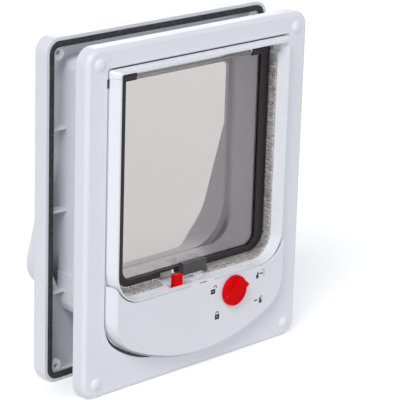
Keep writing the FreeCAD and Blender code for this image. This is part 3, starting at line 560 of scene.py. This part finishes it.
class CATFLAP_OT_pile(bpy.types.Operator):
    """Model the brush seal that the flap closes against, left and right"""
    bl_idname = "catflap.pile"
    bl_label = "Brush seal"

    def execute(self, context):
        s = context.scene.catflap_pile
        yarn = pile_yarn(tuple(settings().pile)).material
        total, at = pile_line()
        tufts = [pile_tuft(n, s.fibre, s.stray) for n in range(5)]
        rng = random.Random(7)
        for side, end in (("right", PILE_RIGHT_END), ("left", -PILE_LEFT_END)):
            run = total + PILE_RIGHT_END - end
            count = int(run * MM / s.spacing)
            set_out = []
            for k in range(count):
                wall, way, free = at((k + 0.5) * run / count)
                along = Vector((way.z, 0, -way.x))
                turn = Matrix(((along.x, 0, way.x), (0, 1, 0), (along.z, 0, way.z))).to_4x4()
                length = (free + rng.uniform(-0.15, 0.1)) * MM
                source = tufts[rng.randrange(len(tufts))]
                o = source.copy()
                o.data = source.data.copy()
                bpy.context.collection.objects.link(o)
                o.data.transform(Matrix.Translation(wall * MM) @ turn @ Matrix.Diagonal((1, 1, length, 1)))
                set_out.append(o)
            strip = joined("brush_pile_" + side, [pile_backing(end)] + set_out)
            if side == "left":
                choose(strip)
                strip.scale.x = -1
                place_in_mesh(strip)
                edit(strip)
                bpy.ops.mesh.select_all(action="SELECT")
                bpy.ops.mesh.normals_make_consistent(inside=False)
                done()
            rounded(strip, 40)
            fitted(strip, "housing", yarn)
            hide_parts("brush_seal")
        for o in tufts:
            bpy.data.objects.remove(o)
        return {"FINISHED"}


# Foam seal
class CATFLAP_OT_foam(bpy.types.Operator):
    """Model the foam strip that the outdoor frame is pressed on"""
    bl_idname = "catflap.foam"
    bl_label = "Foam seal"

    def execute(self, context):
        z0, z1 = FOAM_Z
        bpy.ops.mesh.primitive_plane_add(size=1, location=(0, FOAM_Y[1] * MM, (z0 + z1) / 2 * MM),
                                         rotation=(math.radians(90), 0, 0))
        o = added("foam_strip")
        o.scale = (2 * FOAM_X * MM, (z1 - z0) * MM, 1)
        place_in_mesh(o)
        edit(o, "VERT")
        bpy.ops.mesh.select_all(action="SELECT")
        bpy.ops.mesh.bevel(offset=FOAM_R * MM, segments=8, affect="VERTICES")
        bpy.ops.mesh.select_mode(type="FACE")
        bpy.ops.mesh.select_all(action="SELECT")
        bpy.ops.mesh.inset(thickness=FOAM_W * MM, depth=0)
        bpy.ops.mesh.delete(type="FACE")
        bpy.ops.mesh.select_all(action="SELECT")
        bpy.ops.mesh.extrude_region_move(
            TRANSFORM_OT_translate={"value": (0, (FOAM_Y[0] - FOAM_Y[1]) * MM, 0)})
        done()
        outward(o)
        bevel = o.modifiers.new("soft edge", "BEVEL")
        bevel.width, bevel.segments, bevel.limit_method = 0.0006, 3, "ANGLE"
        apply_all(o)
        rounded(o, 50)
        fitted(o, "liner", cell_foam(tuple(settings().foam)).material)
        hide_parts("foam_seal")
        return {"FINISHED"}


# Dial marks
def mark_disc(name, x, z, r, sides=20):
    bpy.ops.mesh.primitive_circle_add(vertices=sides, radius=r * MM, fill_type="NGON",
                                      location=(x * MM, COVER_FACE * MM, z * MM),
                                      rotation=(math.radians(90), 0, 0))
    return place_in_mesh(added(name))


def mark_bar(name, x, z, w, h):
    bpy.ops.mesh.primitive_plane_add(size=1, location=(x * MM, COVER_FACE * MM, z * MM),
                                     rotation=(math.radians(90), 0, 0))
    o = added(name)
    o.scale = (w * MM, h * MM, 1)
    return place_in_mesh(o)


def raised(o, rise=MARK_RISE, soft=MARK_SOFT):
    """Lifts a flat mark off its face and softens its rim."""
    edit(o)
    bpy.ops.mesh.select_all(action="SELECT")
    bpy.ops.mesh.extrude_region_move(TRANSFORM_OT_translate={"value": (0, -rise * MM, 0)})
    done()
    outward(o)
    bevel = o.modifiers.new("rim", "BEVEL")
    bevel.width, bevel.segments, bevel.limit_method = soft * MM, 2, "ANGLE"
    apply_all(o)
    rounded(o, 40)
    return o


def shackle(x, z, turn):
    """The bow of a padlock, as a spun strip with two legs."""
    bpy.ops.mesh.primitive_plane_add(size=1, rotation=(math.radians(90), 0, 0),
                                     location=((x + BOW_R) * MM, COVER_FACE * MM, (z - BOW_LEG / 2) * MM))
    o = added("shackle")
    o.scale = (BOW_STRIP * MM, BOW_LEG * MM, 1)
    place_in_mesh(o)
    edit(o, "EDGE")
    pick(o, lambda e: all(v.co.z > (z - 0.01) * MM for v in e.verts), "edges")
    bpy.ops.mesh.spin(steps=10, angle=math.radians(180), axis=(0, 1, 0),
                      center=(x * MM, COVER_FACE * MM, z * MM))
    bpy.ops.mesh.extrude_region_move(TRANSFORM_OT_translate={"value": (0, 0, -BOW_LEG * turn * MM)})
    done()
    if max(v.co.z for v in o.data.vertices) < (z + 0.5 * BOW_R) * MM:
        raise RuntimeError("the padlock bow was spun the wrong way")
    return o


def padlock(name, x, z, is_open):
    """A padlock with its middle at x, z; an open one has its bow lifted to one side."""
    body = mark_bar(name, x, z - 0.7, LOCK_W, LOCK_H)
    edit(body, "VERT")
    bpy.ops.mesh.select_all(action="SELECT")
    bpy.ops.mesh.bevel(offset=0.35 * MM, segments=3, affect="VERTICES")
    bpy.ops.mesh.select_mode(type="FACE")
    bpy.ops.mesh.select_all(action="SELECT")
    bpy.ops.mesh.inset(thickness=LOCK_WALL * MM, depth=0)
    bpy.ops.mesh.delete(type="FACE")
    done()
    if is_open:
        bow = shackle(x + 1.9, z + 2.0, 0.1)
    else:
        bow = shackle(x, z + 1.9, 1.0)
    return raised(joined(name, [body, bow]))


def cat_figure(name, x, z, facing):
    """A small sitting cat seen from the side, from a disc pulled out into its ears and back."""
    head_x = x + 0.35 * facing
    head = mark_disc(name, head_x, z + 1.35, 0.85)
    body = mark_disc("body", x, z - 0.4, 1.25)
    edit(body, "VERT")
    pick(body, lambda v: v.co.z < (z - 1.1) * MM, "verts")
    bpy.ops.transform.translate(value=(0, 0, -0.6 * MM))
    bpy.ops.transform.resize(value=(1.25, 1, 0.4))
    done()
    ears = []
    for side in (-0.5, 0.5):
        ear = mark_disc("ear", head_x + side, z + 2.05, 0.42, 3)
        edit(ear, "VERT")
        bpy.ops.mesh.select_all(action="SELECT")
        bpy.ops.transform.resize(value=(0.8, 1, 1.35))
        done()
        ears.append(ear)
    return joined(name, [head, body] + ears)


def way_mark(name, x, z, inward):
    """A cat, an arrow and the outline of the opening, for one way through."""
    cat_x, shaft_x, tip_x = (x - 2.6, x + 0.6, x + 2.0) if inward else (x + 2.2, x - 1.6, x - 3.0)
    arrow_z = z + 0.3
    cat = cat_figure(name, cat_x, z - 0.6, 1 if inward else -1)
    shaft = mark_bar("shaft", shaft_x, arrow_z, 2.2, 0.8)
    tip = mark_disc("tip", tip_x, arrow_z, 1.0, 3)
    edit(tip, "VERT")
    bpy.ops.mesh.select_all(action="SELECT")
    bpy.ops.transform.rotate(value=math.radians(-90 if inward else 90), orient_axis="Y",
                             center_override=(tip_x * MM, COVER_FACE * MM, arrow_z * MM))
    done()
    post = mark_bar("post", x + 3.9, z + 0.2, 0.3, 4.6)
    lintel = mark_bar("lintel", x + 2.9, z + 2.4, 2.3, 0.3)
    return raised(joined(name, [cat, shaft, tip, post, lintel]))


# Dark strips of painted shade in the slots and gaps about the cover and the hinge
def painted_shade_strip(name, x, z, w, h, face):
    """A thin dark strip of painted shade laid on a face behind the cover's."""
    o = mark_bar(name, x, z, w, h)
    choose(o)
    bpy.ops.transform.translate(value=(0, (face - COVER_FACE) * MM, 0))
    return raised(place_in_mesh(o), SHADE_STRIP_RISE, SHADE_STRIP_SOFT)


def tongue_slot():
    """Painted shade of the slot in the cover's tongue: a dark strip at its foot, seen in the recess of the
    CAD part.
    """
    return painted_shade_strip("tongue_slot", 0, TONGUE_Z, 6.5, 0.66, COVER_FACE + 0.46)


def notch_shade(name, side):
    """Painted shade of the small notch beside the hinge: a dark strip at its foot."""
    return painted_shade_strip(name, side * (MOUTH_X - 0.1), HINGE_Z - 0.1, 1.3, 5.8, FRAME_FACE + 0.1)


def head_seam():
    """Painted shade of the gap over the hinge cover: a dark strip at its foot."""
    return painted_shade_strip("head_seam", 0, MOUTH_TOP - 0.4, 2 * MOUTH_X - 7, 0.7, FRAME_FACE + 0.6)


def mouth_line(share):
    """A point of the frame's mouth below the cover on the left, and the way out of it."""
    between = MOUTH_R - MOUTH_CORNER
    slope = math.asin((MOUTH_X - MOUTH_CORNER) / between)
    corner = MOUTH_CORNER * (math.pi / 2 - slope - GAP_START)
    sweep = MOUTH_R * (slope - math.asin(GAP_END_X / MOUTH_R))
    d = share * (corner + sweep)
    if d < corner:
        radius, a = MOUTH_CORNER, math.pi + GAP_START + d / MOUTH_CORNER
        centre = Vector((MOUTH_CORNER - MOUTH_X, 0, MOUTH_BOTTOM + MOUTH_R - between * math.cos(slope)))
    else:
        radius, a = MOUTH_R, -math.pi / 2 - slope + (d - corner) / MOUTH_R
        centre = Vector((0, 0, MOUTH_BOTTOM + MOUTH_R))
    way = Vector((math.cos(a), 0, math.sin(a)))
    return centre + way * radius, way


def shade_under_cover(name, side):
    """Painted shade of the gap under the cover's edge: a dark strip, drawn out and tapered to both ends."""
    steps = 18
    # Placed points wait this far aside, in metres, so that the search by place doesn't find them again
    aside = 4
    bpy.ops.mesh.primitive_grid_add(x_subdivisions=steps, y_subdivisions=1, size=1,
                                    location=(0, FRAME_FACE * MM, 0), rotation=(math.radians(90), 0, 0))
    o = place_in_mesh(added(name))
    edit(o, "VERT")
    for k in range(steps + 1):
        point, way = mouth_line(k / steps)
        wide = GAP_TIP + GAP_WIDE * math.sin(math.pi * k / steps) ** 0.8
        for row, off in ((0.5, GAP_OFF), (-0.5, GAP_OFF + wide)):
            at = Vector((k / steps - 0.5, FRAME_FACE * MM, row))
            pick(o, lambda v: (v.co - at).length < 1e-4, "verts")
            to = point + way * off
            bpy.ops.transform.translate(value=(side * -to.x * MM - at.x + aside, 0, to.z * MM - at.z))
    bpy.ops.mesh.select_all(action="SELECT")
    bpy.ops.transform.translate(value=(-aside, 0, 0))
    bpy.ops.mesh.normals_make_consistent(inside=False)
    done()
    return raised(o, 0.06, 0.01)


class CATFLAP_OT_marks(bpy.types.Operator):
    """Model the four marks round the lock knob, and the strips of painted shade in the slots and gaps about
    the cover
    """
    bl_idname = "catflap.marks"
    bl_label = "Dial marks"

    def execute(self, context):
        # One dark finish for the printed marks and the strips of painted shade.
        ink = print_and_shade_ink(tuple(settings().ink)).material
        marks = [padlock("mark_open", *MARK_OPEN, True), padlock("mark_closed", *MARK_CLOSED, False),
                 way_mark("mark_in", *MARK_IN, True), way_mark("mark_out", *MARK_OUT, False),
                 tongue_slot(), head_seam(),
                 notch_shade("clip_slot_left", -1), notch_shade("clip_slot_right", 1),
                 shade_under_cover("finger_gap_left", -1), shade_under_cover("finger_gap_right", 1)]
        for mark in marks:
            fitted(mark, "housing", ink)
        return {"FINISHED"}


# Studio
def studio_lamp(name, place, size, power, colour):
    """A round soft lamp, aimed at the middle of the cat flap."""
    lamp = bpy.data.lights.new(name, "AREA")
    lamp.shape, lamp.size = "DISK", size
    lamp.energy, lamp.color = power, colour
    o = bpy.data.objects.new(name, lamp)
    bpy.context.scene.collection.objects.link(o)
    o.location = place
    o.rotation_mode = "QUATERNION"
    o.rotation_quaternion = (Vector(AIM) - Vector(place)).to_track_quat("-Z", "Y")
    return o


def studio_sun(name, way, softness, strength, colour):
    """A distant soft lamp, so that the floor is lit evenly."""
    lamp = bpy.data.lights.new(name, "SUN")
    lamp.angle, lamp.energy, lamp.color = math.radians(softness), strength, colour
    o = bpy.data.objects.new(name, lamp)
    bpy.context.scene.collection.objects.link(o)
    o.rotation_mode = "QUATERNION"
    o.rotation_quaternion = (-Vector(way)).to_track_quat("-Z", "Y")
    return o


def seen_directly(nodes, links):
    """1 for rays of the camera, reflections and clear parts, 0 for light that falls on things."""
    path = nodes.new("ShaderNodeLightPath")
    first = nodes.new("ShaderNodeMath")
    first.operation = "MAXIMUM"
    links.new(path.outputs["Is Camera Ray"], first.inputs[0])
    links.new(path.outputs["Is Glossy Ray"], first.inputs[1])
    second = nodes.new("ShaderNodeMath")
    second.operation = "MAXIMUM"
    links.new(first.outputs[0], second.inputs[0])
    links.new(path.outputs["Is Transmission Ray"], second.inputs[1])
    return second.outputs[0]


def studio_floor():
    """Pale paper that shows as white and keeps the shadow."""
    bpy.ops.mesh.primitive_plane_add(size=6, location=(0, 0, 0))
    floor = added("studio_floor")
    edit(floor, "EDGE")
    bpy.ops.mesh.select_all(action="SELECT")
    bpy.ops.mesh.subdivide(number_cuts=4)
    done()
    made = bpy.data.materials.new("studio paper")
    made.use_nodes = True
    nodes, links = made.node_tree.nodes, made.node_tree.links
    nodes.clear()
    paper = nodes.new("ShaderNodeBsdfDiffuse")
    paper.inputs["Color"].default_value = (PAPER, PAPER, PAPER, 1)
    glow = nodes.new("ShaderNodeEmission")
    glow.inputs["Color"].default_value = (1, 1, 1, 1)
    level = nodes.new("ShaderNodeMath")
    level.operation = "MULTIPLY"
    level.inputs[1].default_value = PAPER_GLOW
    links.new(seen_directly(nodes, links), level.inputs[0])
    links.new(level.outputs[0], glow.inputs["Strength"])
    both = nodes.new("ShaderNodeAddShader")
    links.new(paper.outputs[0], both.inputs[0])
    links.new(glow.outputs[0], both.inputs[1])
    out = nodes.new("ShaderNodeOutputMaterial")
    links.new(both.outputs[0], out.inputs["Surface"])
    floor.data.materials.append(made)


def studio_room(level):
    """Even light all round, and plain white wherever the room itself is seen."""
    world = bpy.data.worlds.new("studio room")
    bpy.context.scene.world = world
    world.use_nodes = True
    nodes, links = world.node_tree.nodes, world.node_tree.links
    nodes.clear()
    light = nodes.new("ShaderNodeBackground")
    light.inputs["Color"].default_value = (0.89, 0.91, 1.0, 1)
    light.inputs["Strength"].default_value = level
    seen = nodes.new("ShaderNodeBackground")
    seen.inputs["Color"].default_value = (1, 1, 1, 1)
    seen.inputs["Strength"].default_value = 1.0
    mix = nodes.new("ShaderNodeMixShader")
    links.new(seen_directly(nodes, links), mix.inputs[0])
    links.new(light.outputs[0], mix.inputs[1])
    links.new(seen.outputs[0], mix.inputs[2])
    out = nodes.new("ShaderNodeOutputWorld")
    links.new(mix.outputs[0], out.inputs["Surface"])


class CATFLAP_OT_stage(bpy.types.Operator):
    """Set up the floor, lamps and camera"""
    bl_idname = "catflap.stage"
    bl_label = "Studio"

    def execute(self, context):
        s = context.scene.catflap_studio
        studio_floor()
        studio_room(s.ambient)
        studio_sun("key_lamp", SUN_WAY, SUN_SOFTNESS, s.key, (0.985, 0.99, 1.0))
        for name, place, size, colour in LAMPS:
            studio_lamp(name + "_lamp", place, size, getattr(s, name), colour)
        lens = bpy.data.cameras.new("camera")
        lens.lens, lens.sensor_width = s.lens, 36.0
        lens.clip_start, lens.clip_end = 0.05, 50.0
        camera = bpy.data.objects.new("camera", lens)
        context.scene.collection.objects.link(camera)
        turn = Euler([math.radians(a) for a in CAMERA_TURN])
        camera.matrix_world = Matrix.LocRotScale(Vector(CAMERA_PLACE), turn, None)
        context.scene.camera = camera
        context.scene.view_settings.view_transform = "Standard"
        return {"FINISHED"}


class CATFLAP_PT_panel(bpy.types.Panel):
    """Steps and settings for finishing the cat flap"""
    bl_idname = "CATFLAP_PT_panel"
    bl_label = "Cat Flap"
    bl_space_type = "VIEW_3D"
    bl_region_type = "UI"
    bl_category = "Cat Flap"

    def draw(self, context):
        scene = context.scene
        for group in (scene.catflap_finishes, scene.catflap_pile, scene.catflap_studio):
            box = self.layout.box()
            for name in group.bl_rna.properties.keys():
                if name not in ("rna_type", "name"):
                    box.prop(group, name)
        for step in STEPS:
            self.layout.operator(step.bl_idname)


STEPS = (CATFLAP_OT_finishes, CATFLAP_OT_pile, CATFLAP_OT_foam, CATFLAP_OT_marks, CATFLAP_OT_stage)
GROUPS = (CATFLAP_PG_finishes, CATFLAP_PG_pile, CATFLAP_PG_studio)


def register():
    for each in GROUPS + STEPS + (CATFLAP_PT_panel,):
        bpy.utils.register_class(each)
    bpy.types.Scene.catflap_finishes = bpy.props.PointerProperty(type=CATFLAP_PG_finishes)
    bpy.types.Scene.catflap_pile = bpy.props.PointerProperty(type=CATFLAP_PG_pile)
    bpy.types.Scene.catflap_studio = bpy.props.PointerProperty(type=CATFLAP_PG_studio)


def unregister():
    del bpy.types.Scene.catflap_studio
    del bpy.types.Scene.catflap_pile
    del bpy.types.Scene.catflap_finishes
    for each in reversed(GROUPS + STEPS + (CATFLAP_PT_panel,)):
        bpy.utils.unregister_class(each)


def main():
    register()
    put_down_all()
    for step in STEPS:
        group, name = step.bl_idname.split(".")
        getattr(getattr(bpy.ops, group), name)()
    put_down_all()


if __name__ == "__main__":
    main()
